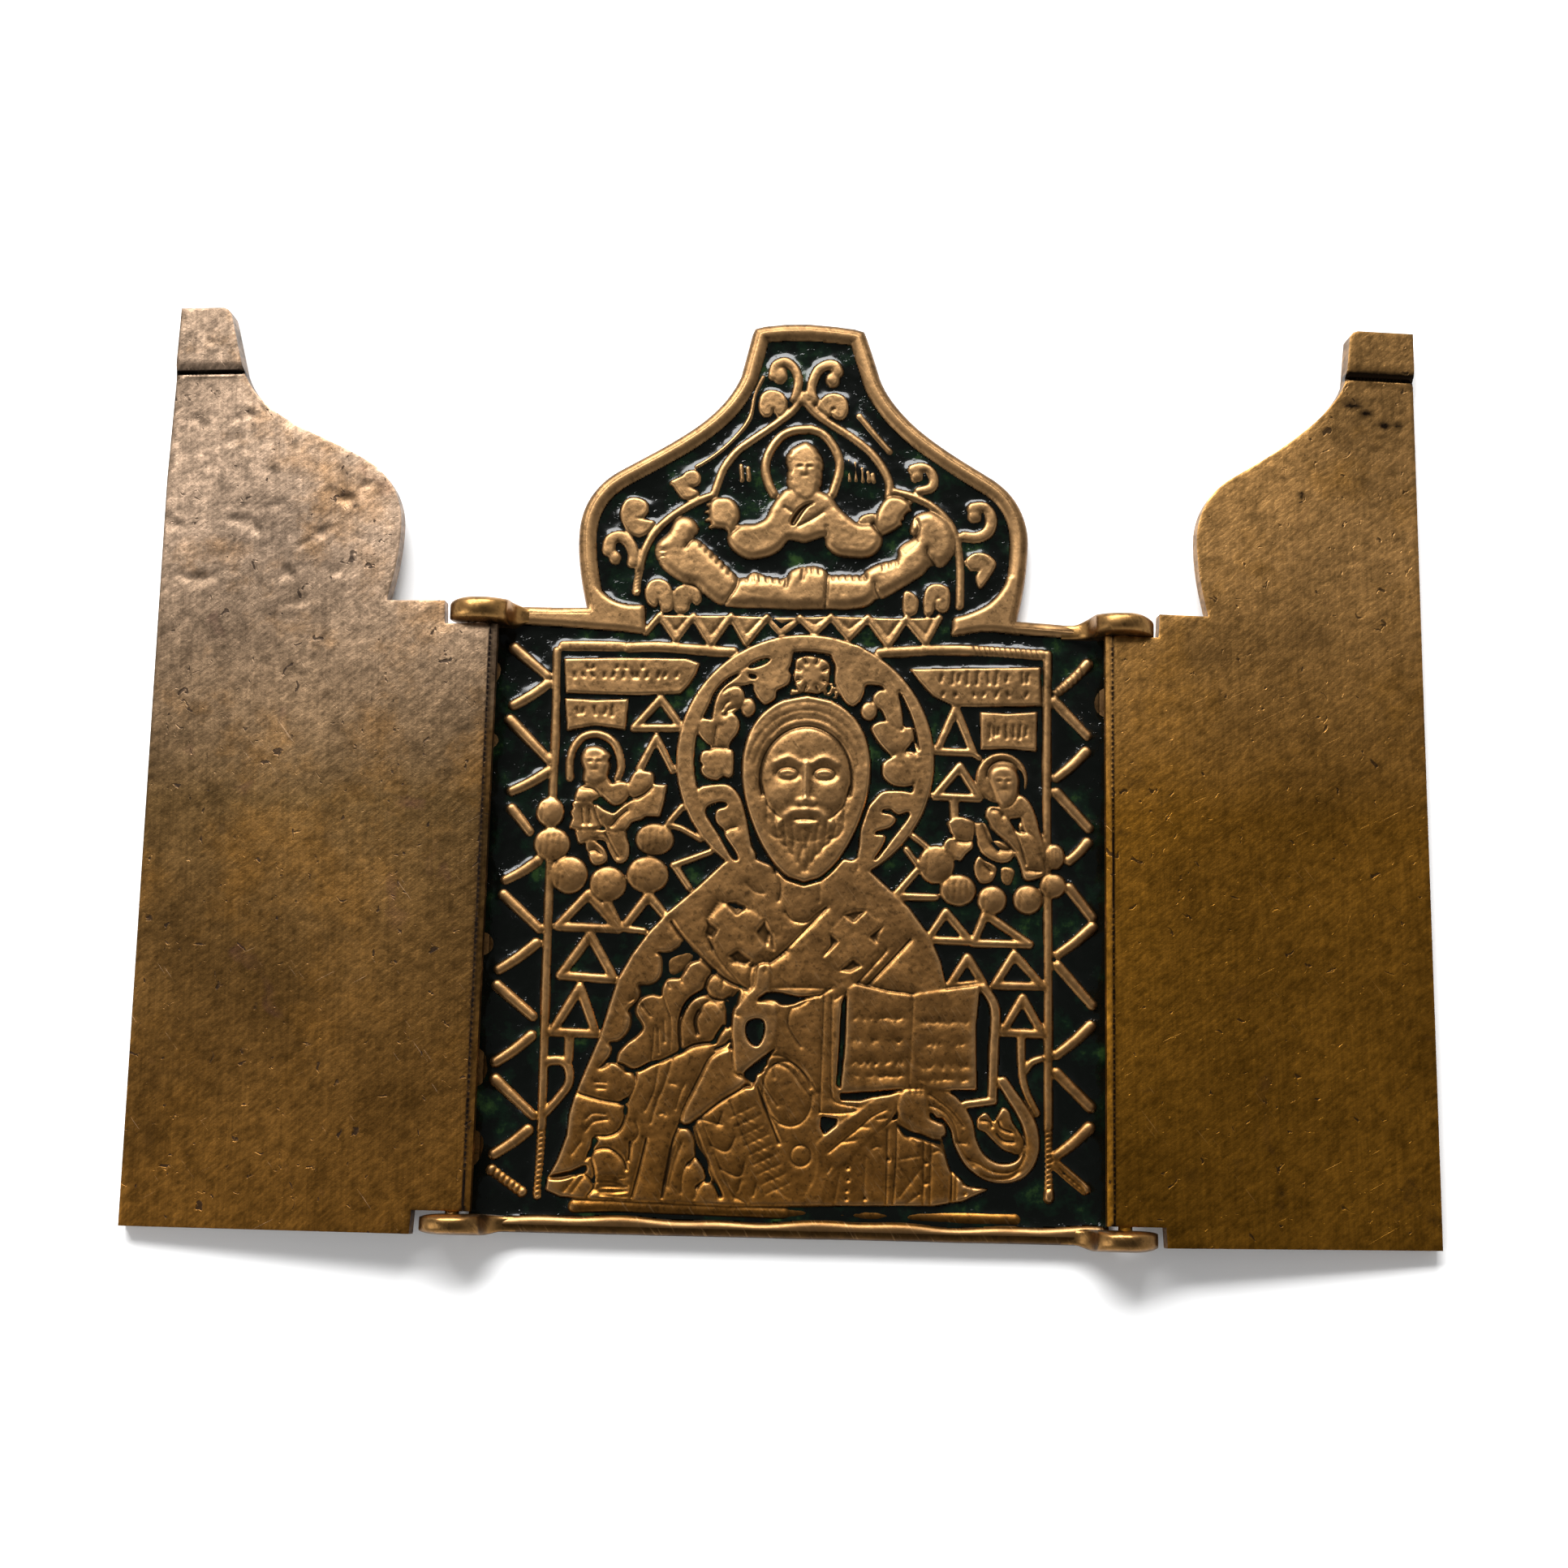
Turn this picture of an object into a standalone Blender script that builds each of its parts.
"""Folding cast bronze icon of three panels, lying open on its back.

The centre panel carries the relief and four arched hinge ears. A plain wing
hangs on each side by two pintles that are cast on its hinge edge, and folds
over the relief. Sizes are in millimetres here and in metres in the model.
X runs to the right, Y towards the pommel, Z up from the surface it lies on.
The origin is on the flat back, on the centre line of the relief.
"""
import math

import bmesh
import bpy
from mathutils import Vector

MM = 0.001

# Centre panel plate and frame
PANEL_HALF_WIDTH = 49.6
PANEL_BOTTOM = -75.1
SHOULDER_Y = 24.2
GROUND_Z = 2.4
FRAME_RAISE = 1.2
RIM_WIDTH = 2.9
BOTTOM_BAR_WIDTH = 2.7
SHOULDER_BAR_WIDTH = 3.6
BAR_LAP = 10.0
BAR_END_SETBACK = 6.0
FRAME_SOFTENING = 0.7
RIM_FOOT_LAP = 1.0

# Small height differences that keep joined forms from sharing a plane
BURY_SPREAD = 0.04
BURY_LEVELS = 11
BAR_SINK = 0.06
BAR_SETBACK = 0.04

# Arched head of the panel, as knots of half its outline
POMMEL_TOP_Y = 73.5
POMMEL_HALF_WIDTH = 8.0
POMMEL_BASE_HALF_WIDTH = 11.2
POMMEL_BASE_Y = 64.8
COVE_END_X = 30.5
COVE_END_Y = 48.1
BELLY_X = 36.75
BELLY_Y = 37.0
FOOT_X = 35.0
FOOT_SWELL = 0.8
CURVE_STEPS = 6
FOOT_STEPS = 3
POMMEL_CORNER = 0.9

# Hinges: ears on the centre panel, pintles on the wings
AXIS_BEYOND_EDGE = 2.0
EAR_HALF_LENGTH = 5.0
EAR_HALF_HEIGHT = 3.9
EAR_WIDTH = 3.2
EAR_STEPS = 16
EAR_ROUNDING = 0.7
ROOT_NARROWING = 0.12
ROOT_LAP = 1.4
ROOT_RISE = 0.5
BOTTOM_EAR_DROP = 0.45
PINTLE_RADIUS = 1.1
PINTLE_CLEARANCE = 0.2
PINTLE_PROUD = 0.4
PINTLE_ROOT = 3.0
PINTLE_SIDES = 16
EAR_GAP = 0.35
NOTCH_CLEARANCE = 1.1
NOTCH_FLARE = 0.6

# Wings
WING_THICKNESS = 2.6
POMMEL_STEP = 0.8
CLOSED_GAP = 0.3
REST_GAP = 0.03
PARTING_X = 2.45
PARTING_GAP = 0.9
HINGE_EDGE_FROM_AXIS = 1.6
HINGE_EDGE_STEPS = 4
WING_TOP_OVERHANG = 1.2
WING_SHELF_RISE = 0.3
WING_BOTTOM_RISE = 0.2
WING_CORNER = 1.1
WING_EDGE_SOFTENING = 0.25
BLOCK_DEPTH = 1.0
LEFT_ARCH_OVERHANG = 1.2
LEFT_POMMEL_X = 7.6
LEFT_POMMEL_BASE_X = 10.2
RIGHT_ARCH_OVERHANG = 2.85
RIGHT_POMMEL_X = 13.0
RIGHT_POMMEL_BASE_X = 14.2

# Relief heights above the enamel ground
LOW_RELIEF = 0.85
MID_RELIEF = 1.1
HIGH_RELIEF = 1.45
HEAD_RELIEF = 1.6
STRAND_PROUD = 0.35
EDGE_SOFTENING = 0.35
LAYER = 0.02

# The carving is drawn on a sheet (half width, foot, head) and fitted to its place
FIELD_SHEET = (49.6, -75.1, 24.2)
ARCH_SHEET = (36.75, 24.2, 73.5)

# Fits worked out from the sizes above
BURY_Z = GROUND_Z / 2
BOSS_DEPTH = BURY_Z * 0.6
FRAME_Z = GROUND_Z + FRAME_RAISE
SHOULDER_BAR_INNER_X = FOOT_X - BAR_LAP
BAR_END_X = PANEL_HALF_WIDTH - BAR_END_SETBACK
HALF_WING = WING_THICKNESS / 2
CARVING_TOP_Z = GROUND_Z + max(HEAD_RELIEF + STRAND_PROUD, HIGH_RELIEF + STRAND_PROUD)
AXIS_X = PANEL_HALF_WIDTH + AXIS_BEYOND_EDGE
AXIS_Z = max(FRAME_Z + POMMEL_STEP, CARVING_TOP_Z) + CLOSED_GAP + HALF_WING
EAR_TOP_SPAN = (SHOULDER_Y - EAR_WIDTH, SHOULDER_Y)
EAR_LOW_SPAN = (PANEL_BOTTOM - BOTTOM_EAR_DROP, PANEL_BOTTOM - BOTTOM_EAR_DROP + EAR_WIDTH)
LEDGE_Y = EAR_TOP_SPAN[0] - EAR_GAP
LOW_NOTCH_Y = EAR_LOW_SPAN[1] + EAR_GAP
NOTCH_REACH = EAR_HALF_LENGTH + NOTCH_CLEARANCE
LEFT_WIDTH = AXIS_X + PARTING_X - PARTING_GAP / 2
RIGHT_WIDTH = AXIS_X - PARTING_X - PARTING_GAP / 2

# Head of the saint on the sheet: centre, half size, narrowing towards the beard
HEAD_CENTRE = (1.3, -4.6)
HEAD_HALF = (11.6, 14.6)
HEAD_NARROWING = 0.42

BRONZE = (0.36, 0.21, 0.09, 1.0)
WING_TAN = (0.42, 0.29, 0.17, 1.0)
WING_OLIVE = (0.30, 0.19, 0.07, 1.0)


def clear_scene():
    for item in list(bpy.data.objects):
        bpy.data.objects.remove(item, do_unlink=True)


def new_collection(name):
    group = bpy.data.collections.new(name)
    bpy.context.scene.collection.children.link(group)
    return group


def metal(name, colour, roughness):
    material = bpy.data.materials.new(name)
    material.use_nodes = True
    shader = material.node_tree.nodes["Principled BSDF"]
    shader.inputs["Base Color"].default_value = colour
    shader.inputs["Metallic"].default_value = 0.9
    shader.inputs["Roughness"].default_value = roughness
    return material


def keep_only(item, group):
    for owner in list(item.users_collection):
        owner.objects.unlink(item)
    group.objects.link(item)


def flat_curve(name, outlines, depth):
    """Filled flat curve with the given outlines, the first outside and the rest holes."""
    curve = bpy.data.curves.new(name, "CURVE")
    curve.dimensions = "2D"
    curve.fill_mode = "BOTH"
    curve.extrude = depth / 2 * MM
    for outline in outlines:
        spline = curve.splines.new("POLY")
        spline.points.add(len(outline) - 1)
        for point, (x, y) in zip(spline.points, outline):
            point.co = (x * MM, y * MM, 0, 1)
        spline.use_cyclic_u = True
    item = bpy.data.objects.new(name + "_curve", curve)
    bpy.context.scene.collection.objects.link(item)
    return item


def to_mesh(item, group, name):
    """Turn a curve object into a welded mesh object and remove the curve."""
    bpy.context.view_layer.update()
    graph = bpy.context.evaluated_depsgraph_get()
    mesh = bpy.data.meshes.new_from_object(item.evaluated_get(graph))
    form = bmesh.new()
    form.from_mesh(mesh)
    bmesh.ops.remove_doubles(form, verts=form.verts, dist=0.02 * MM)
    form.to_mesh(mesh)
    form.free()
    solid = bpy.data.objects.new(name, mesh)
    solid.matrix_world = item.matrix_world
    group.objects.link(solid)
    bpy.data.objects.remove(item, do_unlink=True)
    return solid


def bevel_edges(form, edges, width, segments=1):
    bmesh.ops.bevel(
        form, geom=edges, offset=width * MM, segments=segments, affect="EDGES", clamp_overlap=True
    )


def slab(group, name, outlines, low, high, softening=0.0):
    """Flat piece that lies in XY between two heights."""
    item = flat_curve(name, outlines, high - low)
    item.location.z = (low + high) / 2 * MM
    solid = to_mesh(item, group, name)
    if softening:
        soften_top(solid, (high - low) / 2, softening)
    return solid


def soften_top(solid, top, width):
    """Bevel the edges of a flat piece's top face, which lies at the given local height."""
    form = bmesh.new()
    form.from_mesh(solid.data)
    edges = []
    for edge in form.edges:
        flat = all(abs(v.co.z - top * MM) < 0.01 * MM for v in edge.verts)
        if flat and edge.is_manifold and edge.calc_face_angle() > math.radians(45):
            edges.append(edge)
    bevel_edges(form, edges, width)
    form.to_mesh(solid.data)
    form.free()


def standing_slab(group, name, profile, span, side, rounding):
    """Piece whose profile stands in the XZ plane and runs along Y over the span."""
    item = flat_curve(name, [[(side * x, z) for x, z in profile]], span[1] - span[0])
    item.rotation_euler = (math.pi / 2, 0, 0)
    item.location.y = (span[0] + span[1]) / 2 * MM
    solid = to_mesh(item, group, name)
    form = bmesh.new()
    form.from_mesh(solid.data)
    sharp = math.radians(69)
    edges = [edge for edge in form.edges if edge.is_manifold and edge.calc_face_angle() > sharp]
    bevel_edges(form, edges, rounding)
    form.to_mesh(solid.data)
    form.free()


def dome(group, name, centre, half, height, narrowing=0.0, rings=6):
    """Half-buried rounded boss, narrower towards its lower end by the given share."""
    bpy.ops.mesh.primitive_uv_sphere_add(segments=2 * rings, ring_count=rings, radius=1)
    solid = bpy.context.object
    solid.name = name
    rise = GROUND_Z + height - BURY_Z
    for vertex in solid.data.vertices:
        x, y, z = vertex.co
        taper = 1 - narrowing * (1 - y) / 2
        depth = rise if z > 0 else BOSS_DEPTH
        vertex.co = (x * half[0] * taper * MM, y * half[1] * MM, z * depth * MM)
    solid.location = (centre[0] * MM, centre[1] * MM, BURY_Z * MM)
    keep_only(solid, group)


def cylinder(group, name, radius, span, axis_x, axis_z):
    """Round pin along Y over the span."""
    bpy.ops.mesh.primitive_cylinder_add(
        vertices=PINTLE_SIDES,
        radius=radius * MM,
        depth=(span[1] - span[0]) * MM,
        rotation=(math.pi / 2, 0, 0),
        location=(axis_x * MM, (span[0] + span[1]) / 2 * MM, axis_z * MM),
    )
    solid = bpy.context.object
    solid.name = name
    keep_only(solid, group)


def ellipse(centre, half, steps):
    points = []
    for step in range(steps):
        turn = 2 * math.pi * step / steps
        points.append((centre[0] + half[0] * math.cos(turn), centre[1] + half[1] * math.sin(turn)))
    return points


def rectangle(x0, y0, x1, y1):
    return [(x0, y0), (x1, y0), (x1, y1), (x0, y1)]


def ribbon_sides(path, width):
    """Left and right edges of a band that follows a path, mitred at its corners."""
    left = []
    right = []
    for index, point in enumerate(path):
        here = Vector(point)
        before = Vector(path[max(index - 1, 0)])
        after = Vector(path[min(index + 1, len(path) - 1)])
        first = (here - before).normalized() if index else (after - here).normalized()
        second = (after - here).normalized() if index < len(path) - 1 else first
        across = Vector((-(first + second).y, (first + second).x)).normalized()
        square = Vector((-first.y, first.x))
        reach = width / 2 / max(across.dot(square), 0.4)
        left.append(tuple(here + across * reach))
        right.append(tuple(here - across * reach))
    return left, right


def ribbon(path, width):
    left, right = ribbon_sides(path, width)
    return left + right[::-1]


def smooth_path(knots, steps=2):
    """Points of a rounded path through the knots."""
    points = []
    last = len(knots) - 1
    for index in range(last):
        p0 = Vector(knots[max(index - 1, 0)])
        p1 = Vector(knots[index])
        p2 = Vector(knots[index + 1])
        p3 = Vector(knots[min(index + 2, last)])
        for step in range(steps):
            t = step / steps
            place = (
                2 * p1
                + (p2 - p0) * t
                + (2 * p0 - 5 * p1 + 4 * p2 - p3) * t * t
                + (3 * p1 - p0 - 3 * p2 + p3) * t ** 3
            ) / 2
            points.append(tuple(place))
    points.append(tuple(knots[-1]))
    return points


def bezier(start, start_pull, end_pull, end, steps):
    points = []
    for step in range(1, steps + 1):
        t = step / steps
        s = 1 - t
        place = (
            Vector(start) * s ** 3
            + Vector(start_pull) * 3 * s * s * t
            + Vector(end_pull) * 3 * s * t * t
            + Vector(end) * t ** 3
        )
        points.append(tuple(place))
    return points


def arch_half(top, base, overhang, foot_y):
    """Half outline from the pommel's top corner down to the foot of the arch."""
    cove_end = (COVE_END_X + overhang, COVE_END_Y)
    belly = (BELLY_X + overhang, BELLY_Y)
    foot = (FOOT_X + overhang, foot_y)
    cove_pull = (COVE_END_X - base[0]) * 0.42
    shoulder_pull = (BELLY_X - COVE_END_X) * 0.72
    points = [top, base]
    points += bezier(
        base,
        (base[0] + cove_pull * 0.36, base[1] - cove_pull * 0.96),
        (cove_end[0] - cove_pull * 0.88, cove_end[1] + cove_pull * 0.54),
        cove_end,
        CURVE_STEPS,
    )
    points += bezier(
        cove_end,
        (cove_end[0] + shoulder_pull * 0.85, cove_end[1] - shoulder_pull * 0.52),
        (belly[0], belly[1] + shoulder_pull * 1.1),
        belly,
        CURVE_STEPS,
    )
    points += bezier(
        belly,
        (belly[0], belly[1] - (belly[1] - foot_y) * 0.4),
        (foot[0] + FOOT_SWELL, foot_y + (belly[1] - foot_y) * 0.27),
        foot,
        FOOT_STEPS,
    )
    return points


def cut_corner(before, corner, after, size):
    """Corner point replaced by three points that soften it."""
    c = Vector(corner)
    towards = (Vector(before) - c).normalized()
    away = (Vector(after) - c).normalized()
    middle = c + (towards + away) * size * 0.29
    return [tuple(c + towards * size), tuple(middle), tuple(c + away * size)]


def mirrored(points):
    return [(-x, y) for x, y in reversed(points)]


def inset(points, width):
    """Points of an open outline moved to its right-hand side by the width."""
    moved = []
    last = len(points) - 1
    for index, (x, y) in enumerate(points):
        before = Vector(points[max(index - 1, 0)])
        after = Vector(points[min(index + 1, last)])
        along = (after - before).normalized()
        moved.append((x + along.y * width, y - along.x * width))
    return moved


def panel_arch(corner_size):
    """Left foot, over the pommel, to the right foot."""
    top = (POMMEL_HALF_WIDTH, POMMEL_TOP_Y)
    base = (POMMEL_BASE_HALF_WIDTH, POMMEL_BASE_Y)
    half = arch_half(top, base, 0.0, SHOULDER_Y)
    if corner_size:
        half = cut_corner((0, POMMEL_TOP_Y), half[0], half[1], corner_size) + half[1:]
    return mirrored(half) + half


def on_field(points):
    """Carving drawn on the field sheet, fitted to the panel below its shoulders."""
    half_width, foot, head = FIELD_SHEET
    across = PANEL_HALF_WIDTH / half_width
    along = (SHOULDER_Y - PANEL_BOTTOM) / (head - foot)
    return [(x * across, PANEL_BOTTOM + (y - foot) * along) for x, y in points]


def on_arch(points):
    """Carving drawn on the arch sheet, fitted to the arched head."""
    half_width, foot, head = ARCH_SHEET
    across = BELLY_X / half_width
    along = (POMMEL_TOP_Y - SHOULDER_Y) / (head - foot)
    return [(x * across, SHOULDER_Y + (y - foot) * along) for x, y in points]


def head_surface(x, y):
    """Height of the head's dome over a point of the sheet."""
    up = (y - HEAD_CENTRE[1]) / HEAD_HALF[1]
    out = (x - HEAD_CENTRE[0]) / (HEAD_HALF[0] * (1 - HEAD_NARROWING * (1 - up) / 2))
    inside = max(1 - up * up - out * out, 0.0)
    return max(BURY_Z + (GROUND_Z + HEAD_RELIEF - BURY_Z) * math.sqrt(inside), GROUND_Z + MID_RELIEF)


def strand(forms, name, path, width):
    """Roof-shaped ridge that lies on the head's dome and follows a path."""
    left, right = ribbon_sides(path, width)
    form = bmesh.new()
    rings = []
    for here, a, b in zip(path, left, right):
        section = [(a, -0.1), (here, STRAND_PROUD), (b, -0.1), (here, -STRAND_PROUD)]
        ring = []
        for place, lift in section:
            height = head_surface(*place) + lift
            (x, y), = on_field([place])
            ring.append(form.verts.new((x * MM, y * MM, height * MM)))
        rings.append(ring)
    for a, b in zip(rings, rings[1:]):
        for corner in range(4):
            after = (corner + 1) % 4
            form.faces.new((a[corner], a[after], b[after], b[corner]))
    form.faces.new(rings[0][::-1])
    form.faces.new(rings[-1])
    bmesh.ops.recalc_face_normals(form, faces=form.faces)
    mesh = bpy.data.meshes.new(name)
    form.to_mesh(mesh)
    form.free()
    forms.objects.link(bpy.data.objects.new(name, mesh))


def raised(forms, name, outlines, height, softening=0.0):
    """Relief form on the ground. Its buried face has a depth of its own, so that no two share a plane."""
    buried = BURY_Z - BURY_SPREAD * (len(forms.objects) % BURY_LEVELS)
    slab(forms, name, outlines, buried, GROUND_Z + height, softening)


def build_plate(group):
    outline = panel_arch(POMMEL_CORNER)
    outline += [(PANEL_HALF_WIDTH, SHOULDER_Y), (PANEL_HALF_WIDTH, PANEL_BOTTOM)]
    outline += [(-PANEL_HALF_WIDTH, PANEL_BOTTOM), (-PANEL_HALF_WIDTH, SHOULDER_Y)]
    return slab(group, "centre_panel", [outline], 0.0, GROUND_Z)


def build_frame(forms):
    """Raised rim round the arch, shoulder bars and bottom bar."""
    arch = panel_arch(POMMEL_CORNER)
    inner = inset(panel_arch(0), RIM_WIDTH)
    feet_y = SHOULDER_Y - RIM_FOOT_LAP
    outer = [(arch[0][0], feet_y)] + arch + [(arch[-1][0], feet_y)]
    inner = [(inner[0][0], feet_y)] + inner[1:-1] + [(inner[-1][0], feet_y)]
    slab(forms, "rim", [outer + inner[::-1]], BURY_Z, FRAME_Z, FRAME_SOFTENING)
    buried = BURY_Z - BAR_SINK
    bar_top = FRAME_Z - BAR_SINK
    for side in (-1, 1):
        ends = sorted((side * SHOULDER_BAR_INNER_X, side * BAR_END_X))
        bar = rectangle(ends[0], SHOULDER_Y - SHOULDER_BAR_WIDTH, ends[1], SHOULDER_Y - BAR_SETBACK)
        slab(forms, "shoulder_bar", [bar], buried, bar_top, FRAME_SOFTENING)
    bar = rectangle(-BAR_END_X, PANEL_BOTTOM + BAR_SETBACK, BAR_END_X, PANEL_BOTTOM + BOTTOM_BAR_WIDTH)
    slab(forms, "bottom_bar", [bar], buried, bar_top, FRAME_SOFTENING)


def build_ears(forms, holes):
    """Arched hooks that rise from the frame's ends and loop round the hinge axis."""
    ring = ellipse((AXIS_X, AXIS_Z), (EAR_HALF_LENGTH, EAR_HALF_HEIGHT), EAR_STEPS)
    waist = AXIS_X - EAR_HALF_LENGTH
    inside = AXIS_X - PINTLE_RADIUS - PINTLE_CLEARANCE - ROOT_RISE
    root = [
        (BAR_END_X - ROOT_LAP, BURY_Z),
        (BAR_END_X - ROOT_LAP, FRAME_Z - 2 * BAR_SINK),
        (waist - ROOT_LAP, FRAME_Z + ROOT_RISE),
        (waist + ROOT_RISE, AXIS_Z + ROOT_RISE),
        (inside, AXIS_Z),
        (inside, AXIS_Z - EAR_HALF_HEIGHT + ROOT_RISE),
        (waist + ROOT_RISE, BURY_Z),
    ]
    eye_radius = PINTLE_RADIUS + PINTLE_CLEARANCE
    for side in (-1, 1):
        for label, span in (("upper", EAR_TOP_SPAN), ("lower", EAR_LOW_SPAN)):
            narrow = (span[0] + ROOT_NARROWING, span[1] - ROOT_NARROWING)
            through = (span[0] - EAR_WIDTH / 2, span[1] + EAR_WIDTH / 2)
            standing_slab(forms, label + "_ear", ring, span, side, EAR_ROUNDING)
            standing_slab(forms, label + "_ear_root", root, narrow, side, EAR_ROUNDING / 2)
            cylinder(holes, label + "_eye", eye_radius, through, side * AXIS_X, AXIS_Z)


def carve_arch_relief(forms):
    """Blessing half figure in a crescent of cloth, under an ogee ridge, with curls."""
    ridge_half = [
        (-0.1, 59.2), (6.3, 54.6), (12.2, 50.2), (14.6, 44.9), (21.2, 41.8), (24.9, 36.0), (25.8, 25.6),
    ]
    ridge = smooth_path(mirrored(ridge_half[1:]) + ridge_half)
    raised(forms, "ogee_ridge", [ribbon(on_arch(ridge), 1.3)], LOW_RELIEF)
    halo = on_arch([(0.2, 48.8)])[0]
    rings = [ellipse(halo, (6.3, 6.8), 18), ellipse(halo, (4.4, 5.0), 14)]
    raised(forms, "small_halo", rings, LOW_RELIEF + LAYER)
    dome(forms, "small_head", (halo[0], halo[1] - 0.4), (3.1, 5.0), HIGH_RELIEF, 0.25)
    arm = [(2.6, 43.0), (3.6, 38.6), (9.6, 36.4), (14.2, 39.0), (14.0, 42.6)]
    for side in (-1, 1):
        path = on_arch(smooth_path([(side * x, y) for x, y in arm]))
        raised(forms, "small_arm", [ribbon(path, 4.2)], MID_RELIEF + side * LAYER)
    dome(forms, "small_chest", on_arch([(0.1, 40.5)])[0], (5.0, 4.6), MID_RELIEF + 4 * LAYER)
    roll = [
        (-17.6, 39.6), (-20.6, 34.6), (-15.0, 30.2), (-7.0, 27.9), (0.2, 27.4),
        (7.0, 27.9), (15.2, 30.6), (21.2, 35.2), (19.4, 39.8),
    ]
    raised(forms, "cloth_roll", [ribbon(on_arch(smooth_path(roll)), 6.0)], HIGH_RELIEF, 2 * EDGE_SOFTENING)
    for place in on_arch([(-17.4, 39.2), (19.2, 39.3)]):
        dome(forms, "roll_end", place, (3.45, 3.1), HIGH_RELIEF - 4 * LAYER)
    curls = [
        (4.3, 64.8), (5.0, 60.2), (19.2, 46.6), (28.0, 40.8), (29.4, 34.0), (23.0, 27.0), (17.8, 26.2),
    ]
    for x, y in on_arch(curls):
        for side in (-1, 1):
            dome(forms, "curl", (side * x, y), (2.1, 2.3), LOW_RELIEF + 4 * LAYER, 0.0, 4)
    tooth_pitch = 5.8
    tooth_half = 3.0
    for tooth in range(-3, 4):
        x = tooth * tooth_pitch
        point = on_arch([(x - tooth_half, 24.0), (x + tooth_half, 24.0), (x, 19.6)])
        raised(forms, "tooth", [point], LOW_RELIEF)


def carve_head(forms):
    """Domed head with hair, brow, nose, moustache and beard as ridges on the dome."""
    centre = on_field([HEAD_CENTRE])[0]
    dome(forms, "head", centre, HEAD_HALF, HEAD_RELIEF, HEAD_NARROWING, 8)
    x, y = HEAD_CENTRE
    strand(forms, "nose", [(x, y + 4.8), (x, y + 1.0), (x, y - 3.2)], 2.4)
    for side in (-1, 1):
        ridges = {
            "hair": [(0.6, 11.2), (6.2, 8.8), (8.4, 3.6), (8.0, -1.8)],
            "brow": [(1.2, 4.4), (4.0, 5.4), (6.8, 4.2)],
            "moustache": [(0.7, -4.4), (3.6, -5.2), (5.8, -7.6)],
            "beard_inner": [(1.4, -7.4), (1.7, -10.4), (1.0, -13.2)],
            "beard_outer": [(6.9, -3.6), (5.4, -8.4), (2.9, -11.8)],
        }
        for name, knots in ridges.items():
            path = smooth_path([(x + side * across, y + up) for across, up in knots])
            strand(forms, name, path, 1.7)
        eye = [(x + side * 2.6, y + 2.6), (x + side * 4.0, y + 2.8), (x + side * 5.4, y + 2.6)]
        strand(forms, "eye", eye, 1.3)


def carve_saint(forms):
    """Half-length saint in bishop's dress, with halo, raised hand and open book."""
    centre = on_field([(1.3, 0.3)])[0]
    rings = [ellipse(centre, (20.2, 20.4), 32), ellipse(centre, (17.6, 17.8), 28)]
    raised(forms, "halo", rings, MID_RELIEF)
    for side in (-1, 1):
        leaf = [(3.2, 17.0), (6.6, 12.6), (12.0, 11.6), (13.9, 3.2), (13.4, -3.6)]
        path = smooth_path([(1.3 + side * x, y) for x, y in leaf])
        raised(forms, "leaf", [ribbon(on_field(path), 3.4)], LOW_RELIEF + 2 * LAYER)
        scroll = [(12.8, -6.6), (14.6, -9.6), (12.6, -14.4), (9.2, -17.6)]
        path = smooth_path([(1.3 + side * x, y) for x, y in scroll])
        raised(forms, "scroll_leaf", [ribbon(on_field(path), 3.2)], LOW_RELIEF + LAYER)
    dome(forms, "halo_flower", on_field([(1.3, 15.4)])[0], (2.5, 2.8), MID_RELIEF - 2 * LAYER)
    carve_head(forms)
    robe = [
        (-9.0, -16.4), (-15.6, -20.3), (-21.2, -24.9), (-26.7, -34.7), (-32.0, -48.7),
        (-34.8, -60.1), (-38.0, -69.6), (27.0, -69.7), (28.6, -60.0), (27.0, -40.0),
        (22.5, -31.2), (19.4, -25.0), (12.8, -18.2), (1.4, -21.0),
    ]
    raised(forms, "robe", [on_field(robe)], MID_RELIEF - 5 * LAYER, EDGE_SOFTENING)
    carve_dress(forms)
    carve_hands_and_book(forms)


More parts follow.
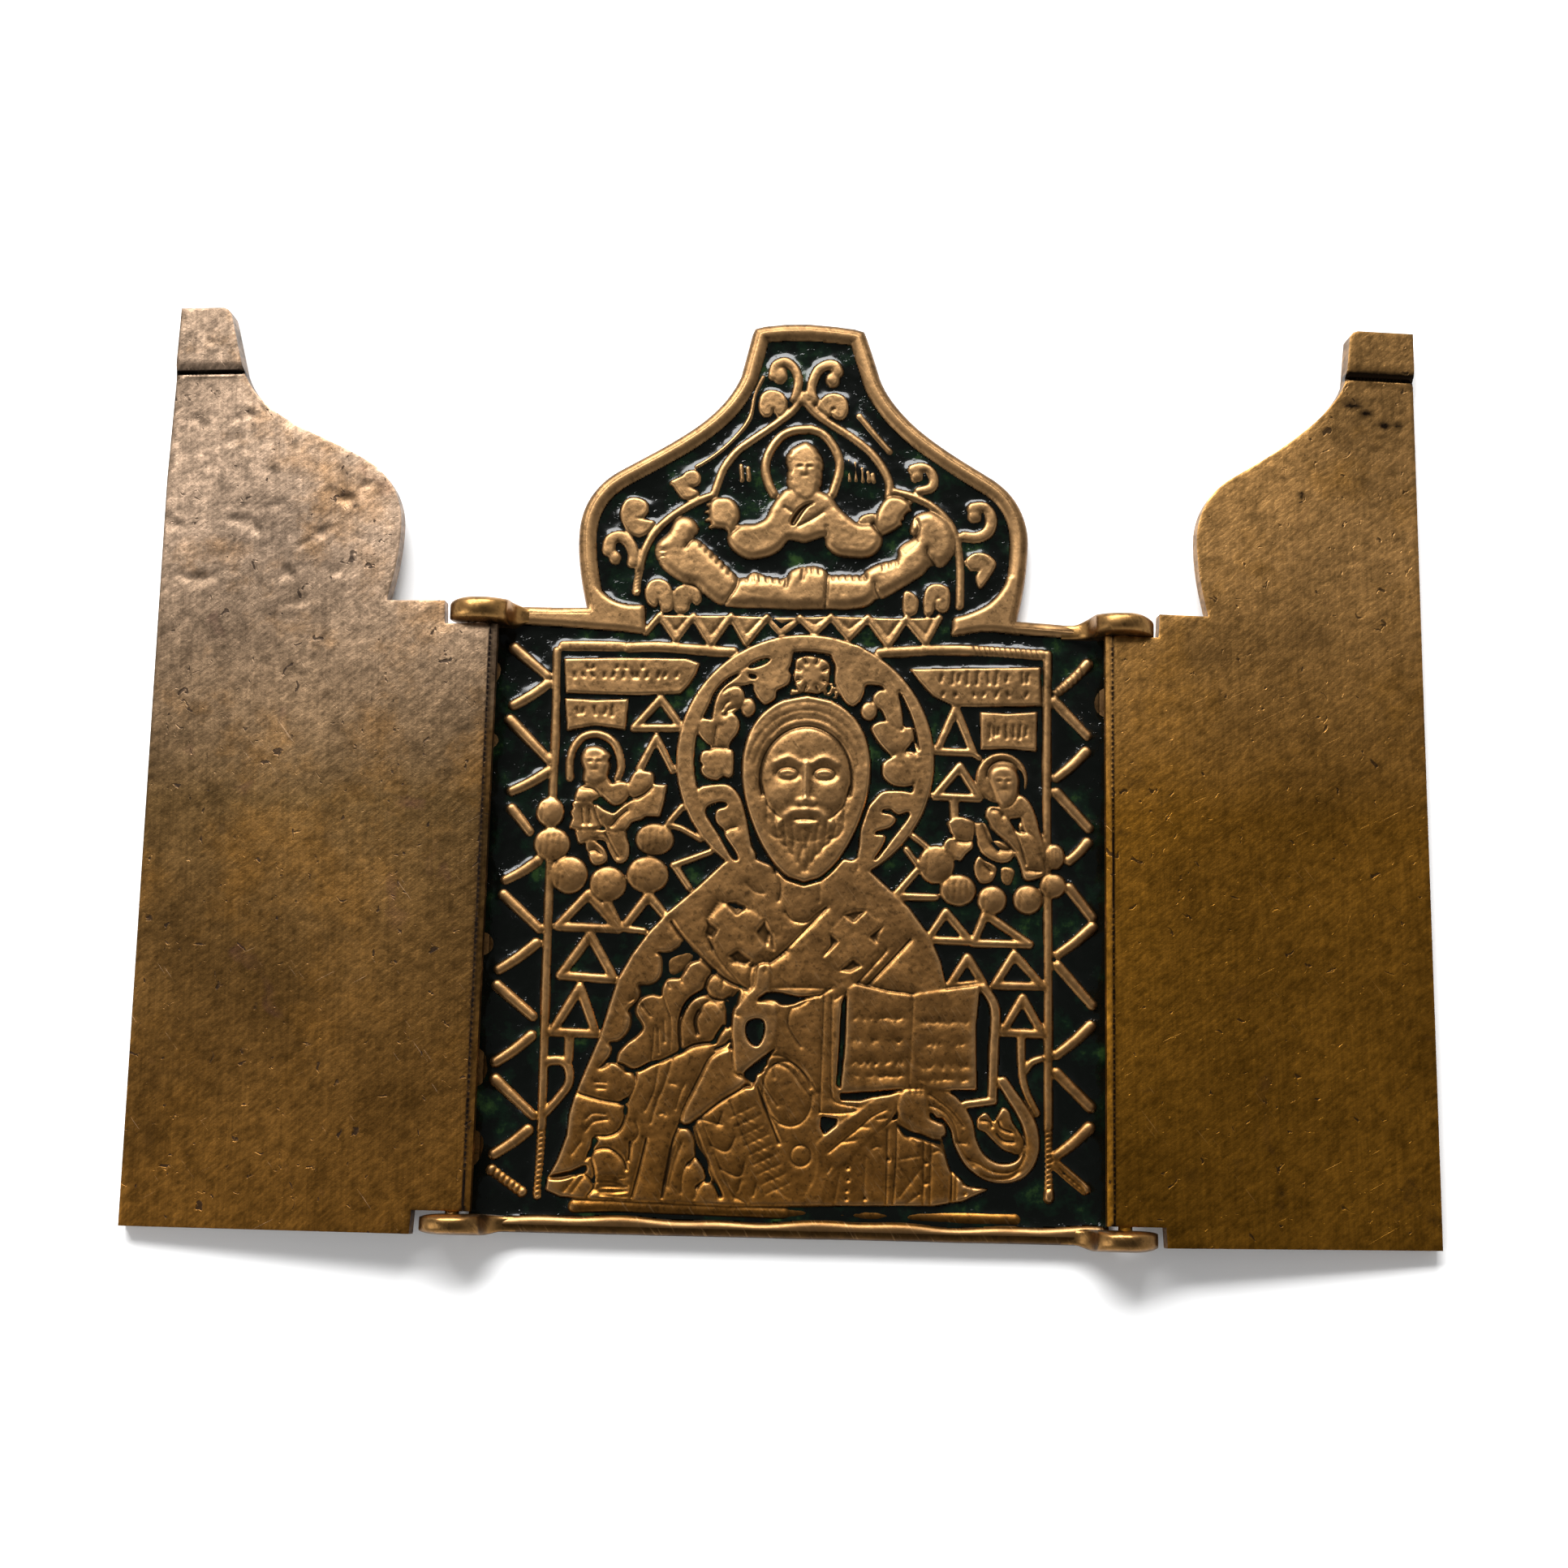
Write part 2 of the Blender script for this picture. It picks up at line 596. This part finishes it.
def carve_dress(forms):
    """Crossed stole with two crosses, sleeve folds, medallion and skirt pleats."""
    stole_left = [(-15.0, -20.6), (-4.6, -31.4)]
    stole_right = [(16.6, -21.6), (5.4, -30.6), (-3.6, -34.6), (-4.6, -50.0), (2.6, -69.6)]
    raised(forms, "stole_left", [ribbon(on_field(stole_left), 9.4)], MID_RELIEF + 9 * LAYER)
    raised(forms, "stole_right", [ribbon(on_field(stole_right), 8.6)], MID_RELIEF + 15 * LAYER)
    for x, y in on_field([(-9.8, -27.2), (9.4, -27.4)]):
        for turn in (-1, 1):
            bar = [(x - 2.7, y - turn * 2.7), (x + 2.7, y + turn * 2.7)]
            raised(forms, "cross", [ribbon(bar, 2.2)], MID_RELIEF + (27 + turn) * LAYER)
    sleeve_folds = [
        [(-24.0, -33.0), (-17.0, -31.0), (-11.0, -35.5)],
        [(-26.4, -43.6), (-20.8, -39.4), (-19.6, -46.4)],
        [(-32.6, -52.6), (-24.6, -50.4), (-15.4, -46.0)],
        [(-28.4, -69.0), (-24.0, -58.0), (-19.4, -50.6)],
        [(-16.4, -69.0), (-14.2, -61.6), (-8.6, -54.6)],
    ]
    for index, fold in enumerate(sleeve_folds):
        path = on_field(smooth_path(fold))
        raised(forms, "fold", [ribbon(path, 3.0)], MID_RELIEF + (6 + index) * LAYER)
    medallion = on_field([(0.2, -51.6)])[0]
    rings = [ellipse(medallion, (3.2, 5.8), 16), ellipse(medallion, (2.2, 4.7), 14)]
    raised(forms, "medallion", rings, MID_RELIEF + 21 * LAYER)
    pleat_pitch = 4.3
    for pleat in range(4):
        x = 9.2 + pleat * pleat_pitch
        path = on_field([(x, -60.6), (x + 0.5, -68.9)])
        raised(forms, "pleat", [ribbon(path, 2.4)], MID_RELIEF + (5 + pleat % 2) * LAYER)


def carve_hands_and_book(forms):
    """Raised hand, open book held through a cloth, and the cloth's hanging end."""
    forearm = on_field(smooth_path([(-15.4, -57.0), (-9.4, -51.2), (-6.4, -46.4)]))
    raised(forms, "blessing_arm", [ribbon(forearm, 5.2)], HIGH_RELIEF + 3 * LAYER, EDGE_SOFTENING)
    palm = on_field([(-6.2, -43.0)])[0]
    hand = [ellipse(palm, (3.1, 4.8), 16), ellipse(palm, (0.9, 1.2), 10)]
    raised(forms, "blessing_hand", hand, HIGH_RELIEF + 10 * LAYER)
    finger = on_field([(-6.0, -39.4), (-2.2, -33.8)])
    raised(forms, "finger", [ribbon(finger, 1.9)], HIGH_RELIEF + 5 * LAYER)
    pages = on_field([(8.2, -35.6), (29.2, -36.4), (28.9, -52.0), (7.6, -52.2)])
    raised(forms, "book_pages", [pages], HIGH_RELIEF - 2 * LAYER, EDGE_SOFTENING)
    for row in range(4):
        y = -39.4 - row * 3.2
        for start, end in ((9.8, 17.4), (19.4, 27.4)):
            line = on_field([(start, y), (end, y - 0.2)])
            raised(forms, "book_row", [ribbon(line, 0.8)], HIGH_RELIEF + 6 * LAYER)
    board = on_field([(6.0, -36.2), (4.9, -54.0), (31.2, -52.6), (31.6, -39.0), (27.6, -31.6)])
    raised(forms, "book_board", [ribbon(board, 1.7)], MID_RELIEF + 2 * LAYER)
    cuff = on_field(smooth_path([(3.0, -64.6), (10.0, -57.4), (17.6, -53.8)]))
    raised(forms, "holding_arm", [ribbon(cuff, 4.0)], HIGH_RELIEF - 5 * LAYER, EDGE_SOFTENING)
    dome(forms, "holding_hand", on_field([(19.8, -55.2)])[0], (3.6, 3.4), HIGH_RELIEF + 5 * LAYER)
    cloth_end = [
        (23.0, -54.8), (25.6, -61.2), (30.8, -65.4), (36.0, -62.6), (37.0, -56.0), (33.4, -50.0),
    ]
    path = on_field(smooth_path(cloth_end))
    raised(forms, "cloth_end", [ribbon(path, 4.0)], MID_RELIEF, EDGE_SOFTENING)


def carve_field(forms):
    """Columns, zigzag rods, plates and cloud balls round the saint."""
    for side in (-1, 1):
        column = on_field([(side * 39.8, 19.4), (side * 40.0, -69.4)])
        raised(forms, "column", [ribbon(column, 1.5)], LOW_RELIEF)
    lintels = [[(-39.9, 17.7), (-11.0, 18.3)], [(12.4, 18.3), (39.9, 18.6)]]
    for lintel in lintels:
        raised(forms, "lintel", [ribbon(on_field(lintel), 1.5)], LOW_RELIEF - 2 * LAYER)
    sill = on_field(rectangle(-34.6, -71.0, 20.0, -69.8))
    raised(forms, "field_sill", [sill], LOW_RELIEF - 5 * LAYER)
    zigzag_turns = 14
    for side in (-1, 1):
        path = []
        for turn in range(zigzag_turns + 1):
            x = side * (46.4 if turn % 2 == 0 else 41.4)
            path.append((x, 16.8 - turn * 6.1))
        raised(forms, "zigzag", [ribbon(on_field(path), 1.4)], LOW_RELIEF - LAYER)
    plates = [
        (-37.9, 11.6, -16.2, 16.2), (-37.6, 4.8, -28.2, 9.6),
        (18.4, 10.2, 38.9, 15.2), (29.3, 2.8, 38.3, 8.0),
    ]
    for plate in plates:
        raised(forms, "label_plate", [on_field(rectangle(*plate))], LOW_RELIEF - 2 * LAYER)
    balls = [
        (-39.4, -9.0), (-39.2, -13.6), (-35.6, -18.4), (-29.8, -20.2), (-24.2, -18.4), (-23.6, -12.2),
        (-31.0, -14.4), (22.4, -15.2), (25.8, -20.6), (31.4, -22.0), (37.0, -21.2), (41.4, -17.6),
        (40.9, -13.8), (31.2, -16.0),
    ]
    for index, place in enumerate(on_field(balls)):
        dome(forms, "cloud", place, (2.7, 2.5), MID_RELIEF - (index % 3) * LAYER, 0.0, 4)


def carve_attendants(forms):
    """Two small half figures in the clouds, holding gifts towards the saint."""
    for side, place in ((-1, (-32.4, 1.0)), (1, (32.6, -1.6))):
        x, y = on_field([place])[0]
        rings = [ellipse((x, y), (4.5, 4.6), 14), ellipse((x, y), (3.4, 3.5), 12)]
        raised(forms, "attendant_halo", rings, LOW_RELIEF - 2 * LAYER)
        dome(forms, "attendant_head", (x, y - 0.6), (2.1, 3.0), MID_RELIEF + 5 * LAYER, 0.2, 5)
        body = [(x - 3.6, y - 5.0), (x - 4.2, y - 13.0), (x + 4.4, y - 12.6), (x + 3.2, y - 4.4)]
        raised(forms, "attendant_body", [body], MID_RELIEF - 7 * LAYER, EDGE_SOFTENING)
        gift = [(x - side * 2.0, y - 8.0), (x - side * 9.6, y - 5.4)]
        raised(forms, "attendant_arms", [ribbon(gift, 3.4)], MID_RELIEF - 3 * LAYER, EDGE_SOFTENING)


def carve_trees(forms):
    """Stacked open triangles, each given by its apex, width and height, and two stems."""
    trees = [
        (-22.7, 9.2, 8.0, 4.0), (-22.8, 3.2, 6.6, 5.4), (-33.4, -21.9, 7.6, 4.6), (-24.0, -22.2, 6.6, 4.4),
        (-33.0, -29.2, 8.8, 5.6), (-34.4, -36.9, 8.2, 6.2), (25.4, 8.0, 6.2, 6.0), (25.6, -0.7, 6.4, 5.2),
        (24.9, -23.6, 5.8, 4.6), (33.4, -24.8, 6.2, 3.2), (27.0, -30.0, 5.8, 5.6), (34.2, -30.0, 8.0, 5.6),
        (35.4, -37.5, 6.0, 5.0),
    ]
    for index, (x, top, width, drop) in enumerate(trees):
        outer = [(x - width / 2, top - drop), (x + width / 2, top - drop), (x, top)]
        middle = Vector((x, top - drop * 0.64))
        inner = [tuple(middle + (Vector(point) - middle) * 0.52) for point in outer]
        rise = LOW_RELIEF - (6 - index % 3) * LAYER
        raised(forms, "tree", [on_field(outer), on_field(inner)], rise)
    for x, top, foot in ((-34.2, -43.2, -57.0), (35.2, -42.6, -50.0)):
        side = 1 if x > 0 else -1
        path = on_field([(x, top), (x - side * 0.4, (top + foot) / 2), (x + side * 3.8, foot)])
        raised(forms, "tree_stem", [ribbon(path, 1.3)], LOW_RELIEF - 7 * LAYER)


def combine(target, group, operation):
    change = target.modifiers.new(operation.lower() + "_" + group.name, "BOOLEAN")
    change.operation = operation
    change.operand_type = "COLLECTION"
    change.collection = group
    change.solver = "EXACT"
    change.use_self = False


def build_centre_panel(parts, cutters, material):
    panel = build_plate(parts)
    forms = bpy.data.collections.new("relief_forms")
    holes = bpy.data.collections.new("ear_eyes")
    cutters.children.link(forms)
    cutters.children.link(holes)
    build_frame(forms)
    build_ears(forms, holes)
    carve_arch_relief(forms)
    carve_saint(forms)
    carve_field(forms)
    carve_attendants(forms)
    carve_trees(forms)
    combine(panel, forms, "UNION")
    combine(panel, holes, "DIFFERENCE")
    panel.data.materials.append(material)


def wing_outline(width, top, base, overhang):
    """Outline of a wing laid flat: X out from the hinge axis, Y along it."""
    shelf_y = SHOULDER_Y + WING_SHELF_RISE
    arch = arch_half(top, base, overhang, shelf_y)
    arch = [(AXIS_X - x, y) for x, y in arch]
    hinge_edge = -HINGE_EDGE_FROM_AXIS - HALF_WING
    bottom = PANEL_BOTTOM + WING_BOTTOM_RISE
    outline = [(width, top[1])]
    outline += cut_corner((width, top[1]), arch[0], arch[1], WING_CORNER) + arch[1:]
    outline += [(NOTCH_REACH + NOTCH_FLARE, shelf_y), (NOTCH_REACH, LEDGE_Y), (hinge_edge, LEDGE_Y)]
    outline += [(hinge_edge, LOW_NOTCH_Y), (NOTCH_REACH + NOTCH_FLARE, LOW_NOTCH_Y)]
    outline += [(NOTCH_REACH + NOTCH_FLARE, bottom), (width, bottom)]
    return outline


def rest_droop(width):
    """Angle at which the wing's outer back edge comes down to the table."""
    reach = math.hypot(width, HALF_WING)
    return math.asin((AXIS_Z - REST_GAP) / reach) - math.atan2(HALF_WING, width)


def round_hinge_edge(wing, side):
    """Full round along the hinge edge, half the plate's thickness in radius."""
    edge_x = side * (-HINGE_EDGE_FROM_AXIS - HALF_WING) * MM
    long_run = (LEDGE_Y - LOW_NOTCH_Y) / 2 * MM
    form = bmesh.new()
    form.from_mesh(wing.data)
    edges = []
    for edge in form.edges:
        at_edge = all(abs(v.co.x - edge_x) < 0.01 * MM for v in edge.verts)
        if at_edge and abs(edge.verts[0].co.y - edge.verts[1].co.y) > long_run:
            edges.append(edge)
    bevel_edges(form, edges, HALF_WING * 0.98, HINGE_EDGE_STEPS)
    form.to_mesh(wing.data)
    form.free()


def build_wing(parts, cutters, name, side, width, top, base, overhang, material):
    """Plain plate with its raised pommel block and two pintles, drooped to the table."""
    outline = [(side * x, y) for x, y in wing_outline(width, top, base, overhang)]
    wing = slab(parts, name, [outline], -HALF_WING, HALF_WING)
    round_hinge_edge(wing, side)
    forms = bpy.data.collections.new(name + "_forms")
    cutters.children.link(forms)
    block = [point for point in outline if point[1] >= base[1]]
    block.append((side * width, base[1]))
    block_foot = HALF_WING - BLOCK_DEPTH
    slab(forms, name + "_pommel", [block], block_foot, HALF_WING + POMMEL_STEP, WING_EDGE_SOFTENING)
    upper = (LEDGE_Y - PINTLE_ROOT, EAR_TOP_SPAN[1] + PINTLE_PROUD)
    lower = (EAR_LOW_SPAN[0] - PINTLE_PROUD, LOW_NOTCH_Y + PINTLE_ROOT)
    for label, span in (("upper", upper), ("lower", lower)):
        cylinder(forms, name + "_" + label + "_pintle", PINTLE_RADIUS, span, 0, 0)
    combine(wing, forms, "UNION")
    wing.location = (side * AXIS_X * MM, 0, AXIS_Z * MM)
    wing.rotation_euler = (0, side * rest_droop(width), 0)
    for piece in forms.objects:
        piece.parent = wing
    wing.data.materials.append(material)


def main():
    clear_scene()
    parts = new_collection("folding_icon")
    cutters = new_collection("construction")
    bronze = metal("bronze", BRONZE, 0.38)
    tan = metal("left_wing_bronze", WING_TAN, 0.45)
    olive = metal("right_wing_bronze", WING_OLIVE, 0.42)
    build_centre_panel(parts, cutters, bronze)
    wing_top = POMMEL_TOP_Y + WING_TOP_OVERHANG
    build_wing(
        parts, cutters, "left_wing", -1, LEFT_WIDTH,
        (LEFT_POMMEL_X, wing_top), (LEFT_POMMEL_BASE_X, POMMEL_BASE_Y), LEFT_ARCH_OVERHANG, tan,
    )
    build_wing(
        parts, cutters, "right_wing", 1, RIGHT_WIDTH,
        (RIGHT_POMMEL_X, wing_top), (RIGHT_POMMEL_BASE_X, POMMEL_BASE_Y), RIGHT_ARCH_OVERHANG, olive,
    )
    for group in [cutters] + list(cutters.children_recursive):
        for item in group.objects:
            item.hide_render = True
            item.display_type = "WIRE"


main()
